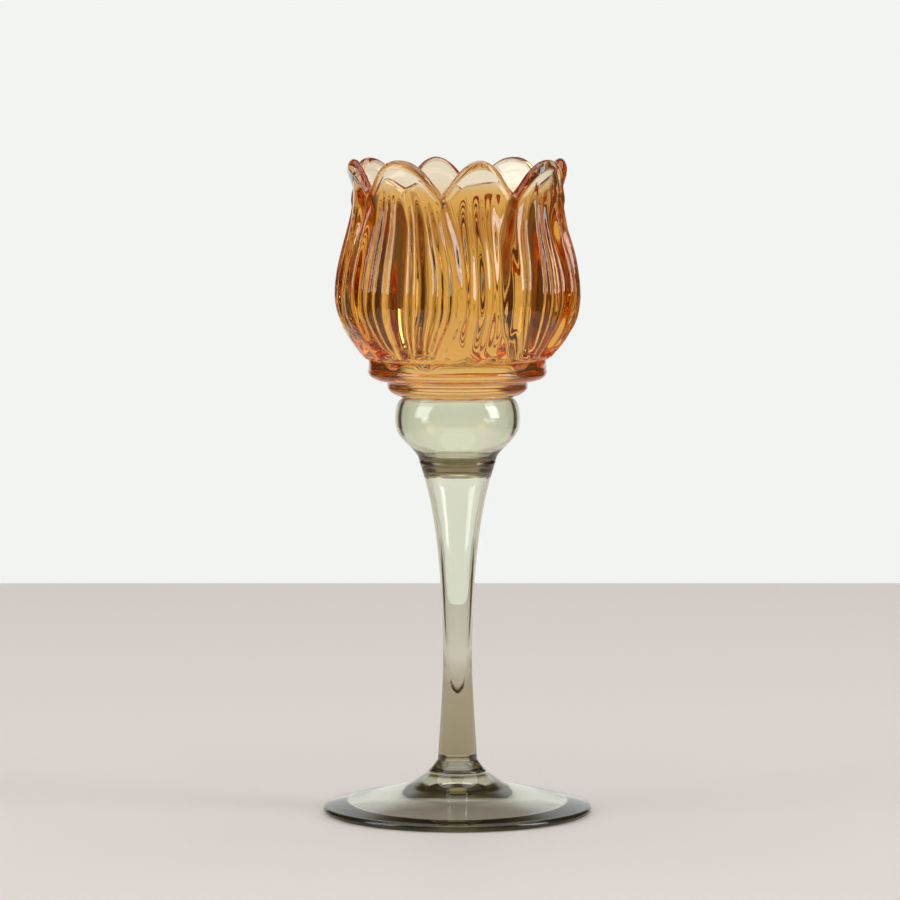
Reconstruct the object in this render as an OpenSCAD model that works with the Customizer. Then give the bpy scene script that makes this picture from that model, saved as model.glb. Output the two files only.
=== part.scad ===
// Stemmed tealight holder: a pressed amber glass tulip cup bonded on top of a
// hand-blown smoke-olive glass stem with a hollow knop and a wide shallow foot.
// Millimetres, +Z up. The origin is the centre of the foot's standing face;
// the Z axis is the axis of the stem and -Y is the side seen from the front.

/* [Overall] */
// Height from the table to the petal tips
total_h = 200; // [160:1:260]
// Height of the cup, from its underside to the petal tips
cup_h = 72.5; // [60:0.5:90]

/* [Tulip cup] */
// Inside radius of the cup at the waist, just under the petal tips
bore_r = 28.2; // [25:0.1:36]
// How much narrower the inside is at belly height (draft for the plunger)
bore_draft = 0.5; // [0:0.1:3]
// How far the inside flares out from the waist to the tips
rim_flare = 2; // [0:0.1:3]
// Thickness of glass at the waist
rim_t = 4.2; // [3.6:0.1:6]
// How far the petal tips curl out beyond the waist
lip_out = 1.5; // [0:0.1:2]
// How far the belly of the cup stands out beyond the waist
belly_out = 5.2; // [2:0.1:9]
// Height of the belly's widest place above the shoulder ring
belly_up = 19.8; // [14:0.1:28]
// Height of the petal tips above the waist
tip_h = 10; // [6:0.5:16]

/* [Petals] */
// Number of outer petals; as many inner petals show between them
petal_pairs = 4; // [3:1:6]
// Direction of the first inner petal, counted from the front (-Y) towards +X
petal_turn = 12; // [-45:1:45]
// How far the fire-polished rim of the cup stands out as a bead
bead_h = 0.7; // [0:0.05:1]
// Depth of the scallop between two tips
scallop = 11.6; // [6:0.2:16]
// Half width of an outer petal at the notch, in ninetieths of a pair's angle
petal_top_w = 24; // [18:0.5:28]
// Half width of an outer petal at the belly, in ninetieths of a pair's angle
petal_max_w = 36; // [28:0.5:40]
// Step from an outer petal down to the inner petal beside it, at the belly
petal_step = 0.7; // [0.3:0.1:1.2]
// How much deeper that step is above the belly
petal_step_up = 2.1; // [0.5:0.1:2.4]
// Depth of the widest upright groove moulded in each outer petal
groove_depth = 2.3; // [0.6:0.1:2.6]
// Height of the rounded ribs between the grooves
rib_h = 0.6; // [0:0.1:1]
// Depth of the long dent in each inner petal
dent_depth = 1.1; // [0:0.1:2]
// How far the two drops at the foot of each outer petal stand out
drop_h = 0.95; // [0:0.05:1.5]

/* [Cup base] */
// Radius of the flat floor the tealight stands on
floor_r = 19.9; // [16:0.1:24]
// Thickness of glass under that floor
floor_t = 10.5; // [8:0.1:13]
// Radius of the shoulder ring
ring_r = 27.4; // [22.5:0.1:33]
// Where the inside wall passes that ring's top: 0 at the floor's edge, 1 at the ring's face
ring_share = 0.35; // [0.2:0.01:0.5]
// Height of the top of the shoulder ring above the floor
shoulder_up = 0.7; // [0.3:0.1:6]
// Height of the shoulder ring's band
ring_h = 6.5; // [4.5:0.1:8]
// How far the petals overhang the shoulder ring
petal_over = 0.5; // [0:0.05:2]
// How far the lower ring stands in from the shoulder ring
ring_in = 6; // [3:0.1:8]
// Radius of the rounding under the lower ring
low_ring_round = 5.2; // [2:0.1:7]

/* [Bond] */
// Thickness of the clear adhesive film under the cup
bond_t = 0.15; // [0.1:0.05:0.5]
// How far the film stays inside the edge of the cup's flat underside
bond_in = 0.45; // [0.2:0.05:1]
// Width of the ring of film, over the ground rim of the knop
bond_w = 1.35; // [0.8:0.05:1.6]

/* [Knop] */
// How far the hollow knop swells beyond its open, flat-ground top
knop_swell = 2.9; // [1:0.1:8]
// Height of the knop from its joint with the stem to its flat top
knop_h = 19.3; // [15:0.1:26]
// Depth of the knop's widest place below its flat top
knop_wide_down = 6.4; // [4:0.1:9]
// Thickness of the glass wall of the knop
knop_wall = 1.8; // [1.4:0.1:3]
// Thickness of glass left at the bottom of the knop
knop_web = 1; // [0.8:0.1:3]

/* [Stem] */
// Radius of the stem at its thinnest
stem_min_r = 4.35; // [3.5:0.05:7]
// Height of the thinnest place above the table
stem_min_z = 47; // [30:1:60]
// Radius of the stem at the joint with the collar
stem_low_r = 6.05; // [4.5:0.05:8]
// Radius of the stem at the joint with the knop
neck_r = 11.8; // [9:0.1:15]
// Thickness of the glass wall of the stem near the knop
stem_wall = 1.2; // [0.9:0.05:2.4]
// How much thinner that wall is at the bottom of the bore
stem_wall_low = 0.3; // [0:0.05:0.4]
// Height above the table where the bore of the stem ends
bore_floor_z = 36.5; // [28:0.1:50]
// Height over which the bottom of the bore is rounded
bore_round = 14; // [3:0.1:18]
// Thickness of glass over the top of the bore
stem_web = 2; // [1.4:0.1:6]

/* [Collar and foot] */
// Radius of the collar where it sits on the foot
collar_r = 8.7; // [8:0.1:12]
// Height of the collar
collar_h = 3.7; // [2:0.1:6]
// Radius of the foot
foot_r = 41.1; // [34:0.1:56]
// Thickness of the foot at its rounded edge
edge_t = 2.3; // [1.6:0.1:4]
// Rise of the foot's upper face per millimetre towards the middle
foot_slope = 0.25; // [0.1:0.01:0.4]
// Width of the flat ring the foot stands on
stand_w = 6.95; // [2:0.05:12]
// Height of the hollow under the middle of the foot
foot_hollow = 5.8; // [0.6:0.1:7]
// Height of the boss in the middle of the foot
boss_h = 2.4; // [1:0.1:5]
// Width of the boss round the collar
boss_w = 8.3; // [4:0.1:14]

/* [Hidden] */
// Angular divisions of the petal wall
n_a = 120;
// Rows of the petal wall outside, over the rim and inside
n_out = 26;
n_rim = 5;
n_in = 9;
// Rounds of the revolved pieces
$fn = 96;

pair = 360 / petal_pairs;
half = pair / 2;
share = pair / 90;

waist_r = bore_r + rim_t;
belly_r = waist_r + belly_out;
ring_z = floor_t + shoulder_up;
groove_z = ring_z - ring_h;
low_ring_r = ring_r - ring_in;
cup_foot_r = low_ring_r - low_ring_round;
belly_z = ring_z + belly_up;
waist_z = cup_h - tip_h;
bowl_z = belly_z - 4;
// depth to which the petal wall is sunk in the shoulder ring
sink = 1.2;
wall_z0 = ring_z - sink;

bond_r = cup_foot_r - bond_in;
bond_in_r = bond_r - bond_w;
knop_top_r = cup_foot_r;
knop_r = knop_top_r + knop_swell;
knop_wide_z = knop_h - knop_wide_down;

cup_z0 = total_h - cup_h;
knop_z1 = cup_z0 - bond_t;
knop_z0 = knop_z1 - knop_h;
foot_in_r = foot_r - edge_t / 2;
stand_r = foot_in_r - stand_w;
collar_z0 = edge_t + foot_slope * (foot_in_r - collar_r) + boss_h;
stem_z0 = collar_z0 + collar_h;

function clamp01(t) = max(0, min(1, t));
// eased step from 0 to 1
function ease(t) = let (c = clamp01(t)) c * c * (3 - 2 * c);
// half of a cosine wave: 1 at t = 0, 0 at t = 1
function swing(t) = 0.5 + 0.5 * cos(180 * clamp01(t));
// rounded bump: 1 at 0, 0 beyond w
function bump(x, w) = let (q = clamp01(1 - x * x / (w * w))) q * q;

// angle of direction a from the middle of the nearest outer petal, in
// ninetieths of a pair's angle: from -45 to 45
function off(a) = let (b = a - petal_turn)
    (b - pair * floor(b / pair) - half) / share;

// height above the cup's underside of the rim in direction a
function rim_z(a) = let (
        p = abs(off(a)),
        u = p < petal_top_w ? p / petal_top_w : (45 - p) / (45 - petal_top_w),
        soft = p < petal_top_w ? 2.3 : 1.9)
    cup_h - scallop * pow(clamp01(u), soft) * (1 - 0.12 * bump(1 - u, 0.25));

// outside radius of the cup body at height z, before the moulded relief
function body_r(z) = z < belly_z
    ? belly_r - (belly_r - ring_r - petal_over)
        * pow((belly_z - z) / belly_up, 1.94)
    : z < waist_z
        ? waist_r + belly_out * swing((z - belly_z) / (waist_z - belly_z))
        : waist_r + lip_out * ease((z - waist_z) / tip_h * 1.1);

// half width of an outer petal at height z
wide_z = belly_z - 3;
function petal_w(z) = z > wide_z
    ? petal_max_w - (petal_max_w - petal_top_w)
        * pow(clamp01((z - wide_z) / (waist_z - wide_z)), 2.2)
    : petal_max_w - (petal_max_w - petal_top_w + 3)
        * pow(clamp01((wide_z - z) / (wide_z - ring_z)), 1.6);

// moulded relief: how far the surface lies inside the body radius
function relief(a, z) = let (
        f = off(a),
        p = abs(f),
        q = 45 - p,
        g = f < 0 ? q : -q,
        w = petal_w(z),
        v = f / w,
        veins = ease((z - ring_z + 0.5) / 6) * ease((cup_h - 8.5 - z) / 14),
        up = ease((z - belly_z + 11) / 30),
        step = (petal_step + petal_step_up * up - 0.9 * ease((z - cup_h + 20.5) / 10))
            * ease((z - ring_z + 1) / 5),
        outer = ease((w - p) / (3 + 4 * up) + 0.5),
        grooves = groove_depth * (bump(v - 0.16, 0.19) + 0.57 * bump(v - 0.53, 0.13)
            + 0.26 * bump(v + 0.16, 0.09) + 0.7 * bump(v + 0.56, 0.17)),
        ribs = rib_h * (0.6 * bump(v - 0.33, 0.14) + 0.75 * bump(v - 0.76, 0.2)
            + bump(v + 0.8, 0.2)),
        crown = step * (0.2 + 0.8 * pow(clamp01(q / (45 - w)), 2)),
        dent = dent_depth * bump(g + 2, 3.6) * bump(z - belly_z - 5, 17))
    outer * veins * (grooves - ribs + 0.3) + (1 - outer) * (crown + dent);

// height where the petals end over the shoulder ring: a lobed line
function petal_base(a) = let (q = 45 - abs(off(a)))
    ring_z + 0.4 - 0.8 * bump(q, 4) + 0.8 * bump(q - 8, 4) - 0.4 * bump(q - 18, 4);

// outside radius of the petal wall, with the drops at the petals' feet
function out_r(a, z) = let (
        p = abs(off(a)),
        rise = ease((z - petal_base(a)) / 1.4),
        near = bump(p - 13, 9.5),
        edge = ring_r - 0.35,
        bead = bead_h * bump(rim_z(a) - z - 2.2, 2.6),
        petals = body_r(max(z, ring_z - 1)) - relief(a, z))
    edge + rise * (petals - edge) * (1 - 0.5 * near * bump(z - ring_z - 3, 2))
    + drop_h * near * bump(z - ring_z - 0.3, 2.6) + bead;

// inside radius of a plain round bowl from the floor to bowl_z
function bowl_r(z) = floor_r + (bore_r - bore_draft - floor_r)
    * pow(1 - pow(clamp01((bowl_z - z) / (bowl_z - floor_t)), 2.2), 1 / 2.2);

// how far the bowl is moved, out or in, to pass the shoulder ring at ring_share
ring_shift = floor_r + ring_share * (ring_r - floor_r) - bowl_r(ring_z);

// inside radius of the cup at height z
function in_r(z) = z > bowl_z
    ? bore_r - bore_draft + bore_draft * (z - bowl_z) / (waist_z - bowl_z)
        + rim_flare * ease((z - waist_z + 8) / (tip_h + 8))
    : bowl_r(z) + ring_shift * (z < ring_z
        ? (z - floor_t) / (ring_z - floor_t)
        : ease((bowl_z - z) / (bowl_z - ring_z)));

// one upright line of the petal wall in direction a: [radius, height] pairs
function wall_line(a) = let (
        top = rim_z(a),
        crest_out = top - 3,
        crest_in = top - 1.6,
        ro = out_r(a, crest_out),
        ri = in_r(crest_in))
    concat(
        [for (i = [0 : n_out - 1])
            let (t = i / (n_out - 1),
                z = wall_z0 + (crest_out - wall_z0) * (0.6 * t + 0.4 * pow(t, 2)))
            [out_r(a, z) - (z < ring_z ? 0.4 * (ring_z - z) : 0), z]],
        [for (i = [1 : n_rim])
            let (b = 180 * i / (n_rim + 1))
            [(ro + ri) / 2 + (ro - ri) / 2 * cos(b),
                b < 90 ? crest_out + 3 * sin(b) : crest_in + 1.6 * sin(b)]],
        [for (i = [0 : n_in - 1])
            let (z = crest_in + (wall_z0 - crest_in) * pow(i / (n_in - 1), 0.9))
            [in_r(z), z]]);

module petal_wall() {
    n_l = n_out + n_rim + n_in;
    lines = [for (j = [0 : n_a - 1]) wall_line(360 * j / n_a)];
    pts = [for (j = [0 : n_a - 1], i = [0 : n_l - 1])
        let (a = 360 * j / n_a, p = lines[j][i])
        [p[0] * sin(a), -p[0] * cos(a), p[1]]];
    faces = [for (j = [0 : n_a - 1], i = [0 : n_l - 1], h = [0, 1])
        let (k = (j + 1) % n_a, m = (i + 1) % n_l,
            p = j * n_l + i, q = k * n_l + i, r = k * n_l + m, s = j * n_l + m)
        h == 0 ? [p, r, q] : [p, s, r]];
    polyhedron(points = pts, faces = faces, convexity = 10);
}

// half section of the solid base of the cup: underside, two rings, shoulder,
// round of the inside and the flat floor
function base_section() = concat(
    [[0, 0], [cup_foot_r, 0]],
    [for (b = [15 : 15 : 90])
        [cup_foot_r + low_ring_round * sin(b), (groove_z - 1.5) * pow(1 - cos(b), 0.8)]],
    [[low_ring_r, groove_z - 0.3], [low_ring_r + 0.4, groove_z + 0.1]],
    [for (b = [0 : 15 : 90])
        [low_ring_r + 0.6 + (ring_in - 0.8) * sin(b),
            groove_z + 0.2 + 2.6 * (1 - cos(b))]],
    [[ring_r, groove_z + 3.3], [ring_r, ring_z]],
    [for (i = [0 : 8])
        let (z = ring_z + (floor_t - ring_z) * pow(i / 8, 0.6))
        [in_r(z), z]],
    [[0, floor_t]]);

module tulip_cup() color("#D98E3A", 0.75) translate([0, 0, cup_z0]) {
    union() {
        rotate_extrude() polygon(base_section());
        petal_wall();
    }
}

module cup_bond() color("#E8EEF0", 0.6)
    translate([0, 0, knop_z1]) rotate_extrude()
        translate([bond_in_r, 0]) square([bond_r - bond_in_r, bond_t]);

// outside radius of the knop at height z above its joint
function knop_out(z) = z > knop_wide_z
    ? knop_top_r + (knop_r - knop_top_r)
        * sqrt(max(0, 1 - pow((z - knop_wide_z) / (knop_h - knop_wide_z), 2)))
    : neck_r + (knop_r - neck_r)
        * swing(pow((knop_wide_z - z) / knop_wide_z, 1.35));

// radius of the hollow in the knop at height z: rounded at its floor
function knop_in(z) = let (low = clamp01((z - knop_web) / 1.1))
    (knop_out(z) - knop_wall) * pow(1 - pow(1 - low, 3), 0.5);

// the knop is blown open: its top is ground flat, and the cup closes it
module knop() color("#B9BF9E", 0.7) translate([0, 0, knop_z0])
    rotate_extrude() polygon(concat([[0, 0]],
        [for (i = [0 : 22]) let (z = knop_h * pow(i / 22, 0.97)) [knop_out(z), z]],
        [for (i = [0 : 22])
            let (z = knop_web + (knop_h - knop_web) * pow(1 - i / 22, 1.4))
            [i == 22 ? 0 : knop_in(z), z]]));

// outside radius of the stem at height z above the table
function stem_out(z) = let (
        up = (z - stem_min_z) / (knop_z0 - stem_min_z),
        down = (stem_min_z - z) / (stem_min_z - stem_z0))
    z > stem_min_z
        ? stem_min_r + (neck_r - stem_min_r) * (0.45 * pow(up, 1.5) + 0.55 * pow(up, 4))
        : stem_min_r + (stem_low_r - stem_min_r) * pow(down, 1.3);

stem_cav_z1 = knop_z0 - stem_web;
// radius of the bore at height z: round at the bottom, a low arch at the top
function stem_in(z) = let (
        low = clamp01((z - bore_floor_z) / bore_round),
        top = clamp01((stem_cav_z1 - z) / 3.4),
        wall = stem_wall - stem_wall_low * (1 - ease((z - stem_min_z - 3) / 30)))
    (stem_out(z) - wall)
        * pow(1 - pow(1 - low, 1.5), 0.6) * pow(1 - pow(1 - top, 3), 0.5);

module stem() color("#B9BF9E", 0.7) difference() {
    rotate_extrude() polygon(concat([[0, stem_z0]],
        [for (i = [0 : 40]) let (z = stem_z0 + (knop_z0 - stem_z0) * i / 40)
            [stem_out(z), z]],
        [[0, knop_z0]]));
    rotate_extrude() polygon(
        [for (i = [0 : 44])
            let (u = 0.5 - 0.5 * cos(180 * i / 44),
                z = bore_floor_z + (stem_cav_z1 - bore_floor_z) * u)
            [i == 0 || i == 44 ? 0 : stem_in(z), z]]);
}

module collar() color("#A9AE8C", 0.8) rotate_extrude() polygon(concat(
    [[0, collar_z0], [collar_r, collar_z0]],
    [for (i = [0 : 6]) let (u = i / 6)
        [collar_r + 0.15 - (collar_r + 0.15 - stem_low_r) * pow(u, 0.8),
            collar_z0 + 0.3 + (collar_h - 0.3) * u]],
    [[0, stem_z0]]));

// upper face of the foot at radius r
function foot_top(r) = edge_t + foot_slope * (foot_in_r - r)
    + boss_h * pow(clamp01((collar_r + boss_w - r) / boss_w), 1.7);

module foot() color("#A9AE8C", 0.8) rotate_extrude() polygon(concat(
    [[0, foot_hollow]],
    [for (i = [1 : 8]) let (u = i / 8)
        [stand_r * u, foot_hollow * (1 - pow(u, 1.6))]],
    [[foot_in_r, 0]],
    [for (b = [-75 : 15 : 75])
        [foot_in_r + edge_t / 2 * cos(b), edge_t / 2 + edge_t / 2 * sin(b)]],
    [for (i = [0 : 12]) let (r = foot_in_r - (foot_in_r - collar_r) * i / 12)
        [r, foot_top(r)]],
    [[0, collar_z0]]));

foot();
collar();
stem();
knop();
cup_bond();
tulip_cup();
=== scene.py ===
# %% [markdown]
# # A stemmed tulip tealight holder in glass
#
# The holder is modelled as five pieces of glass and one film of glue: an amber cup in
# the shape of a tulip, a thin hoop of adhesive, a hollow knop, a hollow stem, a small
# collar and a wide foot. The measured solids come in as a fixed frame, and this lesson
# gives each of them its surface and its glass.
#
# Some of this can't be seen from outside: how deep the cup's floor lies, how the cup is
# held, and whether its amber goes right through. Where a cell says "taken to be", it
# tells a reasoned guess.

# %% Load the frame
import math

import bpy
import numpy as np
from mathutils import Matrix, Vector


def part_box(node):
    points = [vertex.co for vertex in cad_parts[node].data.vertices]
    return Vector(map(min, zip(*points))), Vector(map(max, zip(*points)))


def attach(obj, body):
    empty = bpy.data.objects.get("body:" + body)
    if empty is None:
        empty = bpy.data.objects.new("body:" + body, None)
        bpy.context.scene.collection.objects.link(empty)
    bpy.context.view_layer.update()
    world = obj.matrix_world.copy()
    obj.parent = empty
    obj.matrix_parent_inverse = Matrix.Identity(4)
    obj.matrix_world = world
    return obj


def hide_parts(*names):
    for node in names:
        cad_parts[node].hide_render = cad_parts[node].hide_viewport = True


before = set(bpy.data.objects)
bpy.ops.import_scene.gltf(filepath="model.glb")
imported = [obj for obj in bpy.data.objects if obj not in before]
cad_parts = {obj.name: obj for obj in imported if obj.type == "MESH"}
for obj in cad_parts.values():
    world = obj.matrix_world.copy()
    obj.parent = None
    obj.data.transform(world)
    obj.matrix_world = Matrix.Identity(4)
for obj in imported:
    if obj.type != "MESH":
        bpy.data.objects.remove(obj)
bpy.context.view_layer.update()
MM = 0.001
print("nodes:", sorted(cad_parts))

# %% [markdown]
# ## The camera
#
# Glass is drawn by what lies behind it, so the camera comes first. It stands well back
# with a long lens, a little above the rim of the cup: it looks almost straight across
# the petal tips and about nine degrees down on the foot.

# %% Camera
CAMERA_DISTANCE = 1.400
CAMERA_HEIGHT = 0.2276
CAMERA_PITCH = math.radians(4.752)
CAMERA_ASIDE = -0.0023
LENS_MM = 184.2


def make_camera():
    """A long lens that looks along +Y, tipped down by CAMERA_PITCH."""
    lens = bpy.data.cameras.new("lens")
    lens.sensor_width = 36.0
    lens.lens = LENS_MM
    lens.clip_end = 20.0
    camera = bpy.data.objects.new("camera", lens)
    camera.location = (CAMERA_ASIDE, -CAMERA_DISTANCE, CAMERA_HEIGHT)
    camera.rotation_euler = (math.pi / 2 - CAMERA_PITCH, 0.0, 0.0)
    bpy.context.scene.collection.objects.link(camera)
    bpy.context.scene.camera = camera
    return camera


camera = make_camera()
print("camera stands at", [round(v, 4) for v in camera.location])

# %% [markdown]
# ## Table, wall and light
#
# Clear glass shows the room. The table is a plain pale slab that ends a little way
# behind the holder, and a pale wall stands well behind it. Two tall windows, one at each
# side of the viewer, are soft lights: their upright images on the petals and
# the knop are what makes the surface read as polished.

# %% Table, wall and light
TABLE_BACK = 0.627
TABLE_FRONT = -0.42
TABLE_HALF_WIDTH = 0.32
TABLE_THICKNESS = 0.03
TABLE_GAP = 0.0001
TABLE_COLOUR = (0.625, 0.585, 0.545)
WINDOW_COLOUR = (0.90, 0.92, 1.0)
CEILING_COLOUR = (1.0, 0.99, 0.97)
AIM_HEIGHT = 0.12


def plain_material(name, colour, roughness=0.6):
    """One colour and one roughness, for things that only stand around the object."""
    material = bpy.data.materials.new(name)
    material.use_nodes = True
    shader = material.node_tree.nodes["Principled BSDF"]
    shader.inputs["Base Color"].default_value = (*colour, 1.0)
    shader.inputs["Roughness"].default_value = roughness
    return material


def stage_box(name, low, high, material):
    """A box between two corners."""
    x0, y0, z0 = low
    x1, y1, z1 = high
    corners = [(x, y, z) for z in (z0, z1) for y in (y0, y1) for x in (x0, x1)]
    sides = [(0, 2, 3, 1), (4, 5, 7, 6), (0, 1, 5, 4), (2, 6, 7, 3), (0, 4, 6, 2), (1, 3, 7, 5)]
    mesh = bpy.data.meshes.new(name)
    mesh.from_pydata(corners, [], sides)
    mesh.materials.append(material)
    box = bpy.data.objects.new(name, mesh)
    bpy.context.scene.collection.objects.link(box)
    return box


def window_light(name, azimuth, elevation, distance, width, height, power, colour):
    """A soft rectangular light that faces the holder.

    azimuth is in degrees from the viewer's side towards +X."""
    light = bpy.data.lights.new(name, "AREA")
    light.shape = "RECTANGLE"
    light.size = width
    light.size_y = height
    light.energy = power
    light.color = colour
    lamp = bpy.data.objects.new(name, light)
    a, e = math.radians(azimuth), math.radians(elevation)
    lamp.location = (distance * math.cos(e) * math.sin(a), -distance * math.cos(e) * math.cos(a),
                     AIM_HEIGHT + distance * math.sin(e))
    lamp.rotation_euler = (math.pi / 2 - e, 0.0, a)
    bpy.context.scene.collection.objects.link(lamp)


stage_box("table", (-TABLE_HALF_WIDTH, TABLE_FRONT, -TABLE_THICKNESS),
          (TABLE_HALF_WIDTH, TABLE_BACK, -TABLE_GAP),
          plain_material("limed_wood", TABLE_COLOUR, 0.55))
window_light("window_left", -72, 24, 2.2, 1.2, 1.7, 27, WINDOW_COLOUR)
window_light("window_right", 74, 24, 2.2, 0.8, 1.7, 30, WINDOW_COLOUR)
window_light("ceiling", 0, 86, 2.4, 3.4, 3.4, 66, CEILING_COLOUR)
print("table is", round(2 * TABLE_HALF_WIDTH, 2), "m wide and", round(TABLE_BACK - TABLE_FRONT, 2), "m deep")

# %% [markdown]
# ## The room that the glass shows
#
# A glass edge bends the view sideways by more than a right angle, so it shows the room
# at the viewer's side. A room that is pale all round would make pale edges, and the
# object would fade out. The room here is a dim, warm grey with one bright board behind
# the holder, which gives a clear middle and dark outlines. It costs nothing to draw,
# because it is the world's own light and not a set of walls.

# %% Room
ROOM_DIM = (0.080, 0.052, 0.038)
BOARD_COLOUR = (0.885, 0.905, 0.880)
VIEWER_SHARE = 0.06
FLANK_SHARE = 0.10


def make_room():
    """World light: a bright board behind the holder, and fainter ones at its other sides.

    A board's light falls off smoothly at its upright edges and at its top edge:
    smoothstep of the direction's part along an axis."""
    world = bpy.data.worlds.new("room")
    bpy.context.scene.world = world
    world.use_nodes = True
    nodes, links = world.node_tree.nodes, world.node_tree.links
    back = nodes["Background"]
    where = nodes.new("ShaderNodeTexCoord")
    split = nodes.new("ShaderNodeSeparateXYZ")
    links.new(where.outputs["Generated"], split.inputs[0])

    def maths(operation, *values):
        """One maths node: operation(values), each value a number or another socket."""
        node = nodes.new("ShaderNodeMath")
        node.operation = operation
        for socket, value in zip(node.inputs, values):
            if isinstance(value, (int, float)):
                socket.default_value = value
            else:
                links.new(value, socket)
        return node.outputs[0]

    def step(value, low, high):
        """Smoothstep: 0 where value is under low, 1 where it is over high."""
        node = nodes.new("ShaderNodeMapRange")
        node.interpolation_type = "SMOOTHSTEP"
        links.new(value, node.inputs["Value"])
        node.inputs["From Min"].default_value = low
        node.inputs["From Max"].default_value = high
        return node.outputs["Result"]

    x, y, z = split.outputs
    level = maths("SQRT", maths("ADD", maths("MULTIPLY", x, x), maths("MULTIPLY", y, y)))
    front = maths("DIVIDE", y, maths("MAXIMUM", level, 0.001))
    side = maths("DIVIDE", x, maths("MAXIMUM", level, 0.001))
    behind = step(front, 0.85, 0.93)
    viewer = maths("MULTIPLY", step(maths("MULTIPLY", front, -1.0), 0.92, 0.97), VIEWER_SHARE)
    flanks = maths("MULTIPLY", step(maths("ABSOLUTE", side), 0.93, 0.975), FLANK_SHARE)
    boards = maths("ADD", maths("ADD", behind, viewer), flanks)
    height = maths("SUBTRACT", 1.0, step(z, 0.42, 0.56))
    light = maths("MULTIPLY", boards, height)
    mix = nodes.new("ShaderNodeMix")
    mix.data_type = "RGBA"
    mix.inputs["A"].default_value = (*ROOM_DIM, 1.0)
    mix.inputs["B"].default_value = (*BOARD_COLOUR, 1.0)
    links.new(light, mix.inputs["Factor"])
    links.new(mix.outputs["Result"], back.inputs["Color"])
    back.inputs["Strength"].default_value = 1.0


make_room()
scene = bpy.context.scene
scene.view_settings.view_transform = "Standard"
scene.cycles.max_bounces = 40
scene.cycles.transmission_bounces = 40
scene.cycles.glossy_bounces = 12
scene.cycles.transparent_max_bounces = 16
scene.cycles.caustics_refractive = True
scene.cycles.caustics_reflective = False
print("a ray may pass", scene.cycles.transmission_bounces, "glass surfaces")

# %% [markdown]
# ## Grids of points
#
# Every piece is one closed surface: a half section that is carried round the axis. The
# helper takes the radius and the height of every grid point as whole arrays, so a cup
# whose section changes with direction is made in the same way as a plain turned stem.
# Both ends of the section are shut at the axis with a fan of triangles.

# %% Grid helpers
def smooth(t):
    """Eased step: 3 t^2 - 2 t^3 for t held between 0 and 1."""
    t = np.clip(t, 0.0, 1.0)
    return t * t * (3.0 - 2.0 * t)


def swing(t):
    """Half a cosine wave: 1 at t = 0, 0 at t = 1."""
    return 0.5 + 0.5 * np.cos(np.pi * np.clip(t, 0.0, 1.0))


def bump(x, width):
    """Round bump: (1 - x^2 / width^2)^2 inside the width, 0 outside."""
    return np.clip(1.0 - (x / width) ** 2, 0.0, 1.0) ** 2


def shell_arrays(theta, radius, height, outward=True):
    """Points and faces of one closed shell.

    Row i, column j lies at (radius sin theta_j, -radius cos theta_j, height), in
    millimetres. The first and last rows are shut by fans to one point each on the axis."""
    rows, columns = radius.shape
    x = radius * np.sin(theta)
    y = -radius * np.cos(theta)
    ring = np.stack([x, y, height], axis=-1).reshape(-1, 3)
    poles = np.array([[0, 0, height[0].mean()], [0, 0, height[-1].mean()]])
    points = np.vstack([ring, poles]) * MM
    j = np.arange(columns)
    k = (j + 1) % columns
    i = np.arange(rows - 1)[:, None]
    quads = np.stack([i * columns + j, i * columns + k, (i + 1) * columns + k,
                      (i + 1) * columns + j], axis=-1).reshape(-1, 4)
    first, last = rows * columns, rows * columns + 1
    top = (rows - 1) * columns
    fans = np.vstack([np.stack([np.full(columns, first), k, j], axis=-1),
                      np.stack([np.full(columns, last), top + j, top + k], axis=-1)])
    if not outward:
        quads, fans = quads[:, ::-1], fans[:, ::-1]
    return points, quads, fans


def turned(profile, columns=192, outward=True):
    """A half section [(radius, height), ...] carried round the axis."""
    theta = np.linspace(0, 2 * np.pi, columns, endpoint=False)[None, :]
    line = np.asarray(profile, float)
    ones = np.ones_like(theta)
    return shell_arrays(theta, line[:, :1] * ones, line[:, 1:] * ones, outward)


def hoop(section, columns=128):
    """A closed section [(radius, height), ...] carried round the axis, like a tyre."""
    theta = np.linspace(0, 2 * np.pi, columns, endpoint=False)
    line = np.asarray(section, float)
    x = line[:, :1] * np.sin(theta)
    y = -line[:, :1] * np.cos(theta)
    points = np.stack([x, y, line[:, 1:] + 0 * theta], axis=-1).reshape(-1, 3) * MM
    i = np.arange(len(line))[:, None]
    j = np.arange(columns)
    m, k = (i + 1) % len(line), (j + 1) % columns
    quads = np.stack([i * columns + j, i * columns + k, m * columns + k, m * columns + j], axis=-1)
    return points, quads.reshape(-1, 4), np.zeros((0, 3), int)


def glass_mesh(name, shells, stains, material):
    """One mesh from closed shells, with the share of stain stored at every point."""
    points, quads, fans = [], [], []
    count = 0
    for p, q, f in shells:
        points.append(p)
        quads.append(q + count)
        fans.append(f + count)
        count += len(p)
    points, quads, fans = np.vstack(points), np.vstack(quads), np.vstack(fans)
    mesh = bpy.data.meshes.new(name)
    mesh.vertices.add(len(points))
    mesh.vertices.foreach_set("co", points.ravel())
    corners = np.concatenate([quads.ravel(), fans.ravel()])
    mesh.loops.add(len(corners))
    mesh.loops.foreach_set("vertex_index", corners)
    starts = np.concatenate([np.arange(len(quads)) * 4,
                             len(quads) * 4 + np.arange(len(fans)) * 3])
    mesh.polygons.add(len(starts))
    mesh.polygons.foreach_set("loop_start", starts)
    mesh.update(calc_edges=True)
    mesh.validate()
    mesh.shade_smooth()
    stain = mesh.attributes.new("stain", "FLOAT", "POINT")
    share = np.concatenate([np.asarray(v, float).ravel() for v in stains])
    stain.data.foreach_set("value", share)
    mesh.materials.append(material)
    return mesh


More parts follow.
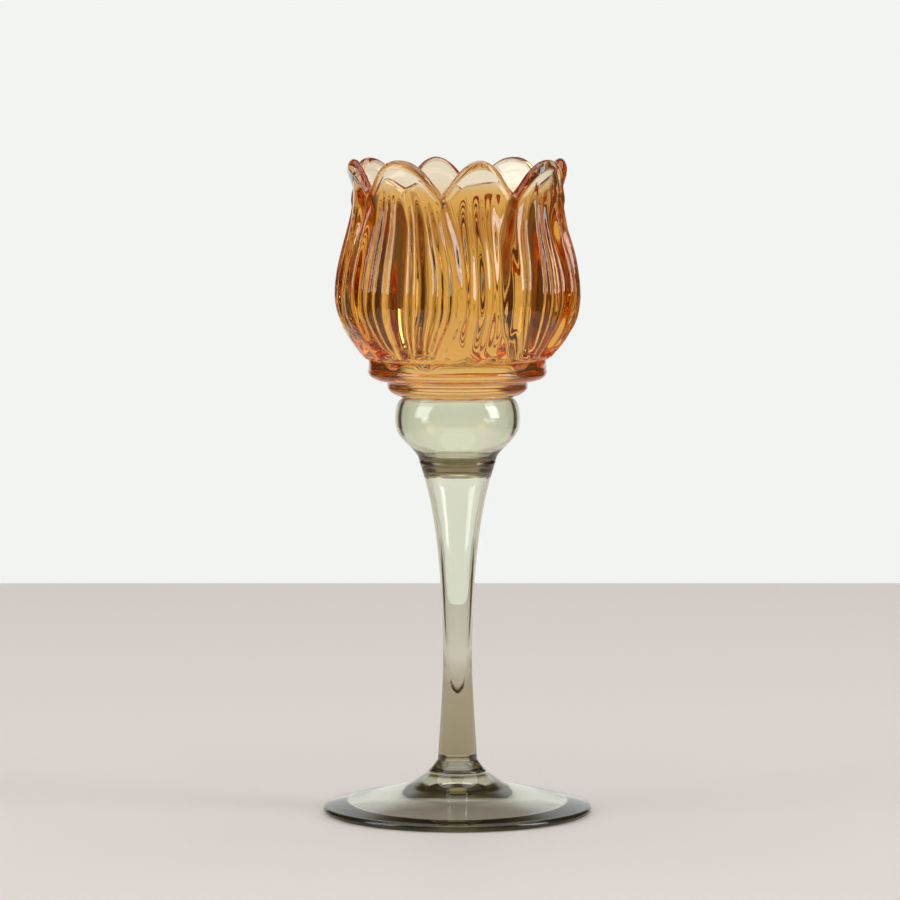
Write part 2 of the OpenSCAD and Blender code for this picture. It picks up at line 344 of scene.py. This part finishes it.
def place(name, mesh, node):
    """Puts a mesh in the scene as the true surface of one measured node."""
    piece = bpy.data.objects.new(name, mesh)
    bpy.context.scene.collection.objects.link(piece)
    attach(piece, "root")
    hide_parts(node)
    low, high = np.array(piece.bound_box).min(0) / MM, np.array(piece.bound_box).max(0) / MM
    print(f"{name}: {len(mesh.polygons)} faces, {high[0] - low[0]:.1f} mm across,",
          f"from {low[2]:.1f} to {high[2]:.1f} mm high")


def box_mm(node):
    """Lowest and highest corner of a measured node, in millimetres."""
    low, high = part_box(node)
    return np.array(low) / MM, np.array(high) / MM


# %% [markdown]
# ## Two colours of glass
#
# Glass that is amber right through would be far darker in the solid base than in the
# thin petals. This cup is nearly as deep in one as in the other, so most of its colour
# is taken to be a stain on the outside, with a little more in the glass itself. A look
# straight through crosses the stain twice. Light that is thrown back inside the wall
# crosses it four times or more, which is why folds and edges turn maroon.
#
# The stain is drawn as a film of its own, a hair under the clear polished surface. It
# is a device of this model and not a piece of the object. It bends nothing, because its
# index is 1. The share of stain at each point is an attribute of the mesh.
#
# The stem and the foot have no film. Their smoke tint is in the glass, so it deepens
# with the distance that light goes inside it. The foot's long edge is the darkest part.

# %% Glass
def glass(name, stain_colour, ior, absorb_colour=None, absorb_density=0.0):
    """Polished glass. Where stain is 1 its surface lets through stain_colour."""
    material = bpy.data.materials.new(name)
    material.use_nodes = True
    tree = material.node_tree
    shader = tree.nodes["Principled BSDF"]
    shader.inputs["Roughness"].default_value = 0.0
    shader.inputs["IOR"].default_value = ior
    shader.inputs["Transmission Weight"].default_value = 1.0
    stain = tree.nodes.new("ShaderNodeAttribute")
    stain.attribute_name = "stain"
    tint = tree.nodes.new("ShaderNodeMix")
    tint.data_type = "RGBA"
    tint.inputs["A"].default_value = (1.0, 1.0, 1.0, 1.0)
    tint.inputs["B"].default_value = (*stain_colour, 1.0)
    tree.links.new(stain.outputs["Fac"], tint.inputs["Factor"])
    tree.links.new(tint.outputs["Result"], shader.inputs["Base Color"])
    if absorb_colour:
        body = tree.nodes.new("ShaderNodeVolumeAbsorption")
        body.inputs["Color"].default_value = (*absorb_colour, 1.0)
        body.inputs["Density"].default_value = absorb_density
        tree.links.new(body.outputs["Volume"], tree.nodes["Material Output"].inputs["Volume"])
    return material


AMBER = glass("amber_glass", (1.0, 0.90, 0.72), 1.52, (0.90, 0.75, 0.10), 18.0)
AMBER_FILM = glass("amber_film", (0.86, 0.51, 0.15), 1.0)
SMOKE_STEM = glass("smoke_glass_stem", (0.95, 0.98, 0.885), 1.50, (0.43, 0.32, 0.06), 108.0)
SMOKE_FOOT = glass("smoke_glass_foot", (1.0, 1.0, 1.0), 1.50, (0.50, 0.48, 0.24), 66.0)
BOND = glass("clear_bond", (1.0, 1.0, 1.0), 1.50)
print("glasses:", [m.name for m in (AMBER, AMBER_FILM, SMOKE_STEM, SMOKE_FOOT, BOND)])

# %% [markdown]
# ## The tulip cup: its outline
#
# The cup is taken to be pressed: hot glass in a mould, with a plunger for the hollow.
# The repeated relief of its petals suggests that. Its inside can hardly be seen and is
# taken to be smooth. Four outer petals alternate with four inner ones. All heights below
# are counted from the cup's own underside, and directions from the front, towards +X.
# The floor is hidden behind the petals. It is set as wide as a tealight needs.

# %% Outline of the cup
cup_low, cup_high = box_mm("tulip_cup")
CUP_Z = cup_low[2]
CUP_H = cup_high[2] - cup_low[2]
PETAL_TURN = 12.0
SCALLOP = 11.6
TOP_W, MAX_W = 24.0, 36.0
FOOT_R, FLOOR_R, FLOOR_Z = 16.2, 19.9, 10.5
LOW_RING_R, GROOVE_Z = 21.4, 4.7
RING_R, RING_TOP = 27.4, 11.2
BELLY_R, BELLY_Z = 37.6, 31.0
WAIST_R, WAIST_Z = 32.4, 62.5
LIP_OUT = 1.5
BORE_R, BORE_DRAFT, RIM_FLARE = 28.2, 0.5, 2.0
BOWL_Z = 27.0


def from_outer_petal(theta):
    """Angle in degrees from the middle of the nearest outer petal, with its sign."""
    return (np.degrees(theta) - PETAL_TURN) % 90.0 - 45.0


def rim_height(theta):
    """Height of the rim: eight round tips, with a rounded notch at TOP_W between them."""
    p = np.abs(from_outer_petal(theta))
    u = np.where(p < TOP_W, p / TOP_W, (45.0 - p) / (45.0 - TOP_W))
    soft = np.where(p < TOP_W, 2.3, 1.9)
    return CUP_H - SCALLOP * np.clip(u, 0, 1) ** soft * (1 - 0.12 * bump(1 - u, 0.25))


def body_radius(z):
    """Outside radius before the relief: a power curve up to the belly, half a cosine wave
    in to the waist, and an eased curl out to the tips."""
    low = BELLY_R - (BELLY_R - RING_R - 0.5) * np.clip((BELLY_Z - z) / (BELLY_Z - RING_TOP), 0, None) ** 1.94
    middle = WAIST_R + (BELLY_R - WAIST_R) * swing((z - BELLY_Z) / (WAIST_Z - BELLY_Z))
    high = WAIST_R + LIP_OUT * smooth((z - WAIST_Z) / (CUP_H - WAIST_Z) * 1.1)
    return np.where(z < BELLY_Z, low, np.where(z < WAIST_Z, middle, high))


def inner_radius(z):
    """Inside radius: a round bowl over the flat floor, then the plunger's slight draft,
    then a flare to the rim."""
    wall = BORE_R - BORE_DRAFT
    straight = wall + BORE_DRAFT * (z - BOWL_Z) / (WAIST_Z - BOWL_Z)
    flare = RIM_FLARE * smooth((z - WAIST_Z + 8) / (CUP_H - WAIST_Z + 8))
    low = np.clip((BOWL_Z - z) / (BOWL_Z - FLOOR_Z), 0, 1)
    bowl = FLOOR_R + (wall - FLOOR_R) * np.clip(1 - low ** 2.2, 0, 1) ** (1 / 2.2)
    return np.where(z > BOWL_Z, straight + flare, bowl)


print("floor is", 2 * FLOOR_R, "mm across and lies", round(CUP_Z + FLOOR_Z, 1), "mm over the table")

# %% [markdown]
# ## The tulip cup: its petals
#
# An outer petal lies over the inner ones beside it, so its edge is a step. The step is
# steep and wide near the notch and dies out at the belly. One steep face shows the
# window and gleams, the other shows the dim room. Upright grooves make the veins. They
# are not even: the widest runs just right of the middle. An inner petal is more strongly
# crowned, and has one long shallow dent.
#
# All of it is real shape and none of it is a bump in the material, since only real
# shape bends light. Each groove is a round bump taken away from the radius. The rows
# of GROOVES and RIBS say how deep, how far from the petal's middle, and how wide, with
# the petal's edge at 1.

# %% Relief of the petals
BELLY_TURN_Z = 28
GROOVES = [(2.3, 0.16, 0.19), (1.3, 0.53, 0.13), (0.6, -0.16, 0.09),
           (1.6, -0.56, 0.17), (0.9, 0.76, 0.10), (0.5, -0.32, 0.06)]
RIBS = [(0.35, 0.33, 0.14), (0.45, 0.76, 0.2), (0.6, -0.80, 0.2)]
DROP_AT, DROP_WIDE = 13, 9.5


def petal_width(z):
    """Half width of an outer petal in degrees: TOP_W at the notch, MAX_W at the belly."""
    up = MAX_W - (MAX_W - TOP_W) * np.clip((z - BELLY_TURN_Z) / (WAIST_Z - BELLY_TURN_Z), 0, 1) ** 2.2
    fall = np.clip((BELLY_TURN_Z - z) / (BELLY_TURN_Z - RING_TOP), 0, 1)
    down = MAX_W - (MAX_W - TOP_W + 3) * fall ** 1.6
    return np.where(z > BELLY_TURN_Z, up, down)


def bumps(rows, v):
    """Sum of depth * bump(v - middle, width) over rows of (depth, middle, width)."""
    return sum(depth * bump(v - middle, width) for depth, middle, width in rows)


def relief(theta, z):
    """How far the surface lies inside body_radius: steps, grooves, ribs and dents."""
    f = from_outer_petal(theta)
    which = np.floor((np.degrees(theta) - PETAL_TURN) / 90.0)
    w = petal_width(z)
    q = 45.0 - np.abs(f)
    g = -np.sign(f) * q
    veins = smooth((z - RING_TOP + 0.5) / 6) * smooth((CUP_H - 8.5 - z) / 14)
    up = smooth((z - 20) / 30)
    step = 0.7 + 2.1 * up - 0.9 * smooth((z - 52) / 10)
    step = step * smooth((z - RING_TOP + 1) / 5)
    outer = smooth((w - np.abs(f)) / (3.0 + 4.0 * up) + 0.5)
    v = f / w + 0.025 * np.sin(z / 8.0 + 2.1 * which)
    grooves = bumps(GROOVES, v)
    ribs = bumps(RIBS, v)
    crown = step * (0.2 + 0.8 * np.clip(q / (45.0 - w), 0, 1) ** 2)
    dent = 1.1 * bump(g + 2.0, 3.6) * bump(z - 36, 17)
    a = theta + 0.015 * np.sin(z / 9.0 + 3 * theta)
    fine = (0.15 * np.sin(53 * a) * (0.5 + 0.5 * np.sin(5 * theta + 1))
            + 0.10 * np.sin(41 * a + 2) * (0.5 + 0.5 * np.sin(7 * theta + 2)))
    fine = fine * smooth((z - RING_TOP - 3) / 8) * smooth((CUP_H - 9 - z) / 12)
    return outer * veins * (grooves - ribs + 0.3) + (1 - outer) * (crown + dent) + fine


def petal_base(theta):
    """Height where the petals end over the ring: a lobed line."""
    q = 45.0 - np.abs(from_outer_petal(theta))
    return (RING_TOP + 0.4 - 0.8 * bump(q, 4.0) + 0.8 * bump(q - 8, 4.0)
            - 0.4 * bump(q - 18, 4.0))


def outer_radius(theta, z):
    """Outside radius of the petal wall, with two drops at the foot of each outer petal."""
    p = np.abs(from_outer_petal(theta))
    petals = body_radius(np.maximum(z, RING_TOP - 1)) - relief(theta, z)
    rise = smooth((z - petal_base(theta)) / 1.4)
    here = bump(p - DROP_AT, DROP_WIDE)
    drops = 0.95 * here * bump(z - RING_TOP - 0.3, 2.6)
    edge = RING_R - 0.35
    bead = 0.7 * bump(rim_height(theta) - z - 2.2, 2.6)
    dip = 1 - 0.5 * here * bump(z - RING_TOP - 3.0, 2.0)
    return bead + edge + rise * (petals - edge) * dip + drops


def waver(theta, z):
    """Slow unevenness of fire-polished glass, under a tenth of a millimetre."""
    return 0.05 * np.sin(3 * theta + z / 7.0) + 0.035 * np.sin(7 * theta - z / 4.6 + 1.0)


sample = relief(np.linspace(0, 2 * np.pi, 720)[None, :], np.linspace(RING_TOP, CUP_H, 80)[:, None])
print("relief runs from", round(float(sample.min()), 1), "to", round(float(sample.max()), 1), "mm deep")

# %% [markdown]
# ## The tulip cup: its glass and its stain
#
# The section runs from the middle of the underside, round the two foot rings, up the
# petals, over the fire-polished rim and down the inside to the flat floor. The rim is
# taller outside than inside, because the petals curl out. The film is the same surface,
# moved 0.12 mm into the glass along its normals.

# %% Cup and stain film
OUT_RIM, IN_RIM = 3.0, 1.6
FILM_DEPTH = 0.12
TIP_FADE, BASE_FADE = 0.42, 0.36
UNDER_ROWS = 8


def cup_shell(columns=528):
    """The cup's whole surface, with the share of stain at every point."""
    theta = np.linspace(0, 2 * np.pi, columns, endpoint=False)[None, :]
    ones = np.ones_like(theta)
    crest_out, crest_in = rim_height(theta) - OUT_RIM, rim_height(theta) - IN_RIM
    b = np.radians(np.arange(0, 91, 7.5))[:, None]
    under_r = np.vstack([np.linspace(1.0, FOOT_R, UNDER_ROWS)[:, None],
                         FOOT_R + (LOW_RING_R - FOOT_R) * np.sin(b[1:]),
                         [[LOW_RING_R]], [[LOW_RING_R + 0.4]],
                         LOW_RING_R + 0.6 + (RING_R - LOW_RING_R - 0.8) * np.sin(b), [[RING_R]]])
    under_z = np.vstack([np.zeros((UNDER_ROWS, 1)), (GROOVE_Z - 1.5) * (1 - np.cos(b[1:])) ** 0.8,
                         [[GROOVE_Z - 0.3]], [[GROOVE_Z + 0.1]],
                         GROOVE_Z + 0.2 + 2.6 * (1 - np.cos(b)), [[GROOVE_Z + 3.3]]])
    t = np.linspace(0, 1, 90)[:, None]
    t = 0.5 * t + 0.5 * t ** 2.0
    start = GROOVE_Z + 3.5
    out_z = start + (crest_out - start) * t
    out_r = outer_radius(theta, out_z) + waver(theta, out_z)
    a = np.radians(np.linspace(0, 180, 18)[1:-1])[:, None]
    ro, ri = out_r[-1:], inner_radius(crest_in)
    rim_r = (ro + ri) / 2 + (ro - ri) / 2 * np.cos(a)
    rim_z = np.where(a < np.pi / 2, crest_out + OUT_RIM * np.sin(a), crest_in + IN_RIM * np.sin(a))
    s = np.linspace(0, 1, 38)[:, None] ** 0.85
    in_z = crest_in + (FLOOR_Z - crest_in) * s
    in_r = inner_radius(in_z) + waver(theta + 2.0, in_z) * smooth((in_z - FLOOR_Z) / 6)
    floor_r = np.linspace(FLOOR_R, 1.0, 6)[1:, None]
    radius = np.vstack([under_r * ones, out_r, rim_r, in_r, floor_r * ones])
    height = np.vstack([under_z * ones, out_z, rim_z, in_z, FLOOR_Z * np.ones((5, 1)) * ones])
    rows = np.arange(len(radius))[:, None] * ones
    outside = (rows >= UNDER_ROWS) & (rows < len(under_r) + len(out_z) + 9)
    fade = 1.0 - TIP_FADE * smooth((height - CUP_H + 14.5) / 9.0)
    fade = fade * (1.0 - BASE_FADE * smooth((RING_TOP + 1.0 - height) / 3.0))
    stain = np.where(outside, fade, 0.0)
    return shell_arrays(theta, radius, height + CUP_Z), np.append(stain.ravel(), (0.0, 0.0))


shell, stain = cup_shell()
place("tulip_cup_glass", glass_mesh("tulip_cup_glass", [shell], [stain], AMBER),
      "tulip_cup")
sunk = glass_mesh("amber_stain_film", [shell], [stain], AMBER_FILM)
normals = np.empty(len(sunk.vertices) * 3)
sunk.vertex_normals.foreach_get("vector", normals)
sunk.vertices.foreach_set("co", shell[0].ravel() - FILM_DEPTH * MM * normals)
sunk.update()
place("amber_stain_film", sunk, "tulip_cup")

# %% [markdown]
# ## The knop
#
# The knop is a bulb of thin glass under the cup. It is taken to be open at the top, with
# a rim that was ground flat, so its hollow is a bowl that the cup closes like a lid. A
# knop with a glass roof of its own shows a dark band under the cup, and none is there.
# The outside and the hollow are one surface that turns over the rim. The wall is thin,
# so light passes almost straight through and only the edges go dark.
#
# Pieces that are fused in the fire meet with no air between them. Two separate meshes
# that only touch would flicker, so each one runs LAP into the next.

# %% Knop
LAP = 0.02
knop_low, knop_high = box_mm("knop")
KNOP_Z, KNOP_H = knop_low[2], knop_high[2] - knop_low[2]
KNOP_TOP_R, KNOP_R, NECK_R = 16.2, 19.1, 11.8
KNOP_WIDE_Z = 12.9
KNOP_WALL, KNOP_WEB = 1.8, 1.0


def knop_out(z):
    """Outside radius: a quarter ellipse above the widest place, and below it half a cosine
    wave of (share of the way down) ^ 1.35 in to the neck."""
    above = np.sqrt(np.clip(1 - ((z - KNOP_WIDE_Z) / (KNOP_H - KNOP_WIDE_Z)) ** 2, 0, 1))
    below = swing(np.clip((KNOP_WIDE_Z - z) / KNOP_WIDE_Z, 0, 1) ** 1.35)
    return np.where(z > KNOP_WIDE_Z, KNOP_TOP_R + (KNOP_R - KNOP_TOP_R) * above,
                    NECK_R + (KNOP_R - NECK_R) * below)


def knop_shells():
    """One closed surface: up the outside, in over the flat rim, down the hollow, whose
    lowest KNOP_WEB millimetre is rounded like the bottom of a bottle."""
    u = np.linspace(0, 1, 70)
    z = KNOP_H * (1 - (1 - u) ** 1.5)
    under = [(k, -LAP) for k in np.linspace(0.5, 11.3, 6)]
    out = list(zip(knop_out(z), z))
    rim = [(16.0, KNOP_H), (15.1, KNOP_H), (14.3, KNOP_H - 0.05)]
    zc = np.linspace(KNOP_H - 0.4, KNOP_WEB, 70)
    low = np.clip((zc - KNOP_WEB) / 1.1, 0, 1)
    rc = (knop_out(zc) - KNOP_WALL) * np.clip(1 - (1 - low) ** 3, 0, 1) ** 0.5
    hollow = list(zip(rc, zc))[:-1] + [(4.0, KNOP_WEB), (1.0, KNOP_WEB)]
    line = np.array(under + out[1:] + rim + hollow)
    line[:, 1] += KNOP_Z
    return [turned(line)]


def plain_stains(shells):
    """Full stain on the outer shell of a piece, none in its hollow."""
    return [np.full(len(shells[0][0]), 1.0)] + [np.zeros(len(s[0])) for s in shells[1:]]


def place_turned(name, shells, node, material):
    """Makes a turned piece of glass and puts it in its node's place."""
    place(name, glass_mesh(name, shells, plain_stains(shells), material), node)


place_turned("knop_glass", knop_shells(), "knop", SMOKE_STEM)

# %% [markdown]
# ## The stem
#
# A drawn stem is pulled from hot glass. The pull makes it thin in the middle and leaves
# a bore, which ends in a long point where the glass runs solid. How thick the wall is
# can't be seen. It is set so that the pale picture of the wall behind ends at the right
# height in the stem. The bore is a second shell that faces inwards.

# %% Stem
STEM_Z = box_mm("stem")[0][2]
STEM_MIN_R, STEM_MIN_Z, STEM_LOW_R = 4.35, 47.0, 6.05
BORE_LOW_Z, BORE_POINT, BORE_ARCH = 36.5, 14.0, 3.4
STEM_WEB = 2.0
WALL_LOW, WALL_GAIN, WALL_RISE = 0.9, 0.3, 30


def stem_out(z):
    """Outside radius: above the thinnest place 0.45 u^1.5 + 0.55 u^4 of the way to the
    neck, below it u^1.3 of the way to the collar, for u the share of the height."""
    up = np.clip((z - STEM_MIN_Z) / (KNOP_Z - STEM_MIN_Z), 0, 1)
    down = np.clip((STEM_MIN_Z - z) / (STEM_MIN_Z - STEM_Z), 0, 1)
    flare = (NECK_R - STEM_MIN_R) * (0.45 * up ** 1.5 + 0.55 * up ** 4)
    return STEM_MIN_R + np.where(z > STEM_MIN_Z, flare, (STEM_LOW_R - STEM_MIN_R) * down ** 1.3)


def stem_bore(z, top_z):
    """Radius of the bore: the outside less the wall, closed by a long round point below
    and a low arch above."""
    low = np.clip((z - BORE_LOW_Z) / BORE_POINT, 0, 1)
    top = np.clip((top_z - z) / BORE_ARCH, 0, 1)
    wall = WALL_LOW + WALL_GAIN * smooth((z - STEM_MIN_Z - 3) / WALL_RISE)
    return (stem_out(z) - wall) * (1 - (1 - low) ** 1.5) ** 0.6 * (1 - (1 - top) ** 3) ** 0.5


def stem_shells():
    """The outside, closed by flat ends that lap into the collar and knop, and the bore."""
    z = np.linspace(STEM_Z - LAP, KNOP_Z + LAP, 120)
    foot_end = [(k * STEM_LOW_R, STEM_Z - LAP) for k in (0.1, 0.5, 0.9)]
    knop_end = [(k * NECK_R, KNOP_Z + LAP) for k in (0.9, 0.5, 0.1)]
    out = foot_end + list(zip(stem_out(z), z)) + knop_end
    top_z = KNOP_Z - STEM_WEB
    v = 0.5 - 0.5 * np.cos(np.pi * np.linspace(0.012, 0.988, 110))
    zc = BORE_LOW_Z + (top_z - BORE_LOW_Z) * v
    bore = np.stack([stem_bore(zc, top_z), zc], axis=-1)
    return [turned(out, 128), turned(bore, 128, outward=False)]


place_turned("stem_glass", stem_shells(), "stem", SMOKE_STEM)

# %% [markdown]
# ## Collar and foot
#
# A small gather, the collar, joins the stem to the foot. The foot's upper face falls
# gently from a low boss to a round edge. Underneath it is taken to be domed and to stand
# on a flat ring, because the table shows through the middle with little bending, as it
# does when two faces are nearly parallel. Light that enters the edge runs a long way
# inside the glass, which is why the edge is almost black.

# %% Collar and foot
COLLAR_R, COLLAR_H = 8.7, 3.7
COLLAR_Z = STEM_Z - COLLAR_H
EDGE_T, FOOT_SLOPE = 2.3, 0.25
EDGE_R = 39.95
DOME_R, DOME_H = 33.0, 5.8
BOSS_R, BOSS_POWER = 17.0, 1.7


def collar_shells():
    """A squat cone with a soft side: the radius falls with (share of the height) ^ 0.8."""
    u = np.linspace(0, 1, 12)
    r = COLLAR_R + 0.15 - (COLLAR_R + 0.15 - STEM_LOW_R) * u ** 0.8
    side = list(zip(r, COLLAR_Z + 0.3 + (COLLAR_H - 0.3) * u))
    under = [(1, COLLAR_Z - LAP), (5, COLLAR_Z - LAP), (COLLAR_R, COLLAR_Z - LAP)]
    return [turned(under + side + [(4, STEM_Z), (1, STEM_Z)], 128)]


def foot_top(r):
    """Height of the upper face: a straight fall to the edge, and a boss that rises with
    (share of the way in) ^ BOSS_POWER."""
    fall = EDGE_T + FOOT_SLOPE * (EDGE_R - r)
    boss_h = COLLAR_Z - EDGE_T - FOOT_SLOPE * (EDGE_R - COLLAR_R)
    return fall + boss_h * np.clip((BOSS_R - r) / (BOSS_R - COLLAR_R), 0, 1) ** BOSS_POWER


def foot_shells():
    """The dome underneath, DOME_H (1 - u^1.6) high, the flat ring, half a circle for the
    edge, and the upper face."""
    u = np.linspace(0.02, 1, 30)
    under = list(zip(DOME_R * u, DOME_H * (1 - u ** 1.6))) + [(DOME_R + 0.05, 0), (EDGE_R, 0)]
    b = np.radians(np.arange(-85, 86, 8))
    edge = list(zip(EDGE_R + EDGE_T / 2 * np.cos(b), EDGE_T / 2 * (1 + np.sin(b))))
    r = np.linspace(EDGE_R, COLLAR_R, 60)
    top = list(zip(r, foot_top(r))) + [(5, COLLAR_Z), (1, COLLAR_Z)]
    return [turned(under + edge + top, 256)]


place_turned("collar_glass", collar_shells(), "collar", SMOKE_FOOT)
place_turned("foot_glass", foot_shells(), "foot", SMOKE_FOOT)

# %% [markdown]
# ## The bond
#
# Nothing shows how the cup is held. Two kinds of glass may not shrink alike as they
# cool, which is a reason not to fuse them, so the cup is taken to be glued: a thin clear
# hoop lies on the knop's rim, under the cup.

# %% Bond
bond_low, bond_high = box_mm("cup_bond")
BOND_R, BOND_IN_R = bond_high[0], 14.4
BOND_Z0, BOND_Z1 = bond_low[2] - LAP, bond_high[2] + LAP
hoop_section = [(BOND_IN_R, BOND_Z0), (BOND_R - 0.15, BOND_Z0), (BOND_R, (BOND_Z0 + BOND_Z1) / 2),
                (BOND_R - 0.15, BOND_Z1), (BOND_IN_R, BOND_Z1)]
place_turned("bond_film", [hoop(hoop_section)], "cup_bond", BOND)
